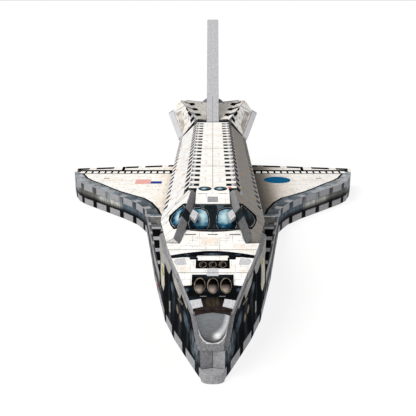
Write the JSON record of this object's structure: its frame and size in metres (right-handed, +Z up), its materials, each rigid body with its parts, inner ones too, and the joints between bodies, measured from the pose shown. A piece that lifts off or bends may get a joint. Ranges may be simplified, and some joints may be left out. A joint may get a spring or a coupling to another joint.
{
  "type": "space shuttle 3-D puzzle model",
  "caption": "Assembled foam-backed 3-D puzzle model of a delta-wing space shuttle orbiter, printed panels with finger joints, resting on its flat belly.",
  "frame": {"origin": "centre of the bounding box in plan, at the belly's underside", "axes": "+Y from the nose to the tail, +Z up, +X towards the orbiter's left wing"},
  "size_m": [0.334, 0.53, 0.194],
  "materials": {
    "aft_bulkhead": "satin printed card on grey foam",
    "bay_roof_panel": "satin printed card on grey foam",
    "bay_side_panel_left": "satin printed card on grey foam",
    "bay_side_panel_right": "satin printed card on grey foam",
    "belly_panel": "satin printed card on grey foam",
    "body_flap": "satin printed card on grey foam",
    "brow_panel": "satin printed card on grey foam",
    "cabin_side_left": "satin printed card on grey foam",
    "cabin_side_right": "satin printed card on grey foam",
    "fin_layer_left": "satin printed card on grey foam",
    "fin_layer_right": "satin printed card on grey foam",
    "forward_deck_panel": "satin printed card on grey foam",
    "main_engine_lower_left": "satin printed card on grey foam",
    "main_engine_lower_right": "satin printed card on grey foam",
    "main_engine_upper": "satin printed card on grey foam",
    "mid_deck_panel": "satin printed card on grey foam",
    "nose_cap_panel": "satin printed card on grey foam",
    "nose_wall_left": "satin printed card on grey foam",
    "nose_wall_right": "satin printed card on grey foam",
    "pod_nozzle_left": "satin printed card on grey foam",
    "pod_nozzle_right": "satin printed card on grey foam",
    "pod_side_left": "satin printed card on grey foam",
    "pod_side_right": "satin printed card on grey foam",
    "pod_slope_left": "satin printed card on grey foam",
    "pod_slope_right": "satin printed card on grey foam",
    "pod_top_left": "satin printed card on grey foam",
    "pod_top_right": "satin printed card on grey foam",
    "rear_deck_panel": "satin printed card on grey foam",
    "side_wall_left": "satin printed card on grey foam",
    "side_wall_right": "satin printed card on grey foam",
    "windshield_panel": "satin printed card on grey foam",
    "windshield_tab_left": "satin printed card on grey foam",
    "windshield_tab_right": "satin printed card on grey foam",
    "wing_edge_wall_left": "satin printed card on grey foam",
    "wing_edge_wall_right": "satin printed card on grey foam",
    "wing_top_left": "satin printed card on grey foam",
    "wing_top_right": "satin printed card on grey foam",
    "wing_trailing_wall_left": "satin printed card on grey foam",
    "wing_trailing_wall_right": "satin printed card on grey foam"
  },
  "bodies": {
    "root": {"aft_bulkhead": "aft_bulkhead", "bay_roof_panel": "bay_roof_panel", "bay_side_panel_left": "bay_side_panel_left", "bay_side_panel_right": "bay_side_panel_right", "belly_panel": "belly_panel", "body_flap": "body_flap", "brow_panel": "brow_panel", "cabin_side_left": "cabin_side_left", "cabin_side_right": "cabin_side_right", "fin_layer_left": "fin_layer_left", "fin_layer_right": "fin_layer_right", "forward_deck_panel": "forward_deck_panel", "main_engine_lower_left": "main_engine_lower_left", "main_engine_lower_right": "main_engine_lower_right", "main_engine_upper": "main_engine_upper", "mid_deck_panel": "mid_deck_panel", "nose_cap_panel": "nose_cap_panel", "nose_wall_left": "nose_wall_left", "nose_wall_right": "nose_wall_right", "pod_nozzle_left": "pod_nozzle_left", "pod_nozzle_right": "pod_nozzle_right", "pod_side_left": "pod_side_left", "pod_side_right": "pod_side_right", "pod_slope_left": "pod_slope_left", "pod_slope_right": "pod_slope_right", "pod_top_left": "pod_top_left", "pod_top_right": "pod_top_right", "rear_deck_panel": "rear_deck_panel", "side_wall_left": "side_wall_left", "side_wall_right": "side_wall_right", "windshield_panel": "windshield_panel", "windshield_tab_left": "windshield_tab_left", "windshield_tab_right": "windshield_tab_right", "wing_edge_wall_left": "wing_edge_wall_left", "wing_edge_wall_right": "wing_edge_wall_right", "wing_top_left": "wing_top_left", "wing_top_right": "wing_top_right", "wing_trailing_wall_left": "wing_trailing_wall_left", "wing_trailing_wall_right": "wing_trailing_wall_right"}
  },
  "joints": []
}
